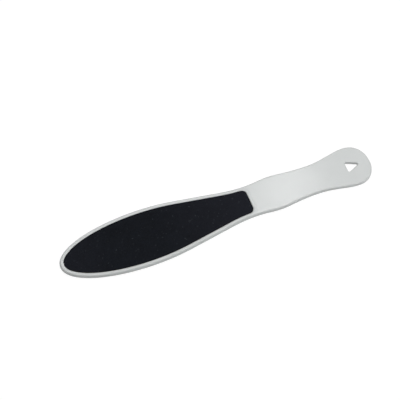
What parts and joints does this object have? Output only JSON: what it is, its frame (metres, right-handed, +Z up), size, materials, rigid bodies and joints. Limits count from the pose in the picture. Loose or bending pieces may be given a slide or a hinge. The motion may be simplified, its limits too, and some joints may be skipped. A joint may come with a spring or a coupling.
{
  "type": "foot file",
  "caption": "Flat paddle-shaped foot file: moulded plastic handle and rim, coarse abrasive sheet on top, fine one below, hanging hole.",
  "frame": {"origin": "centre of the part's bounding box in plan, on the flat surface that the fine abrasive sheet lies on", "axes": "+X along the middle line towards the end of the handle, the paddle's tip at -X; +Z up, out of the coarse sheet; Y across the width"},
  "size_m": [0.26, 0.0484, 0.0044],
  "materials": {
    "moulded_plastic": "satin off-white moulding",
    "adhesive_film": "thin tacky film",
    "backing_paper": "resin-soaked dark paper",
    "coarse_abrasive": "coarse black grit in dark resin",
    "fine_abrasive": "fine black grit in dark resin"
  },
  "bodies": {
    "root": {"handle_moulding": "moulded_plastic", "coarse_adhesive": "adhesive_film", "coarse_backing": "backing_paper", "coarse_grit": "coarse_abrasive", "fine_adhesive": "adhesive_film", "fine_backing": "backing_paper", "fine_grit": "fine_abrasive"}
  },
  "joints": []
}
